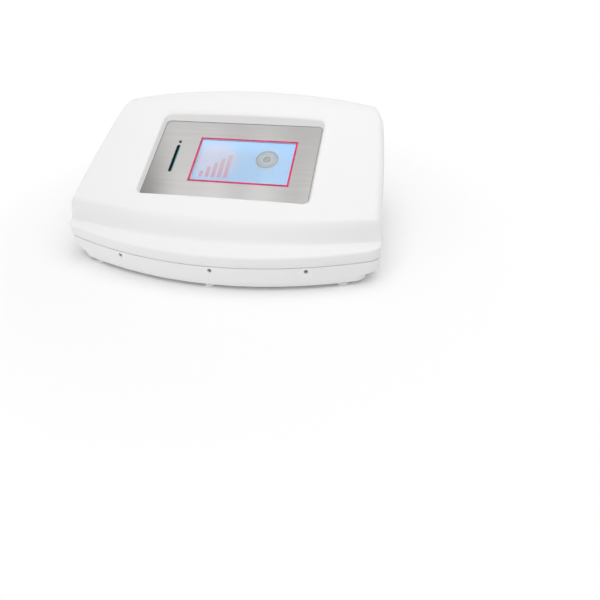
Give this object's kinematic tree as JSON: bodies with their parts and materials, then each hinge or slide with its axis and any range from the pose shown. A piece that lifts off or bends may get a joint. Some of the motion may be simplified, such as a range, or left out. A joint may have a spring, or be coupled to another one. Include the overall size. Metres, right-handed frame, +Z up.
{
  "type": "compression therapy pump",
  "caption": "White desktop console that inflates compression sleeves, with a sloping steel control panel, a colour touch display and a key-card slot.",
  "frame": {"origin": "middle of the footprint, on the surface that the feet stand on", "axes": "+X to the right seen from the user's side, +Y from the user towards the rear panel, +Z up"},
  "size_m": [0.4898, 0.342, 0.189],
  "materials": {
    "casing": "fine satin moulded ABS",
    "feet": "matte",
    "screws": "plated",
    "panel_steel": "finely brushed",
    "border_film": "printed film",
    "screen_glass": "polished",
    "display_body": "satin",
    "plated_steel": "zinc plated",
    "circuit_board": "solder mask",
    "led": "clear red",
    "dark_plastic": "satin",
    "cable": "matte",
    "brass_pins": "plated",
    "gloss_black": "gloss",
    "rubber": "matte",
    "cast_aluminium": "as cast",
    "clear_plastic": "smoky acrylic",
    "silicone": "translucent",
    "supply_board": "bare laminate",
    "transformer_iron": "varnished"
  },
  "bodies": {
    "console": {"base_tray": "casing", "top_cover": "casing", "feet": "feet", "front_screws": "screws", "rear_screws": "screws", "control_panel": "panel_steel", "panel_screws": "screws", "screen_border": "border_film", "touch_glass": "screen_glass", "lcd_module": "display_body", "display_posts": "plated_steel", "display_board": "circuit_board", "status_led": "led", "card_reader": "dark_plastic", "ribbon_cable": "cable", "rear_panel": "casing", "air_socket_left": "dark_plastic", "air_socket_right": "dark_plastic", "power_inlet": "dark_plastic", "inlet_pins": "brass_pins", "switch_body": "dark_plastic", "rocker_pivot": "plated_steel", "fan_frame": "dark_plastic", "fan_guard": "plated_steel", "fan_screws": "screws", "pump_mounts": "rubber", "pump_bracket": "plated_steel", "pump_motor": "plated_steel", "pump_crankcase": "cast_aluminium", "pump_heads": "cast_aluminium", "manifold_bracket": "plated_steel", "valve_manifold": "clear_plastic", "solenoid_valves": "dark_plastic", "outlet_hoses": "silicone", "supply_hose": "silicone", "main_board": "circuit_board", "board_parts": "dark_plastic", "board_screws": "screws", "power_supply": "supply_board", "transformer": "transformer_iron", "heat_sink": "cast_aluminium", "supply_screws": "screws", "mains_leads": "cable"},
    "rocker": {"switch_rocker": "gloss_black"},
    "drawer": {"fuse_drawer": "dark_plastic", "fuse": "screen_glass"},
    "rotor": {"fan_rotor": "dark_plastic"}
  },
  "joints": [
    {"name": "rocker_tilt", "type": "hinge", "parent": "console", "child": "rocker", "pos_m": [0.125, 0.15469, 0.074], "axis": [1, 0, 0], "range_deg": [0, 20]},
    {"name": "fuse_drawer_pull", "type": "slide", "parent": "console", "child": "drawer", "axis": [0, 1, 0], "range_m": [0, 0.02]},
    {"name": "fan_spin", "type": "hinge", "parent": "console", "child": "rotor", "pos_m": [0.018, 0.14919, 0.074], "axis": [0, 1, 0], "continuous": true}
  ]
}
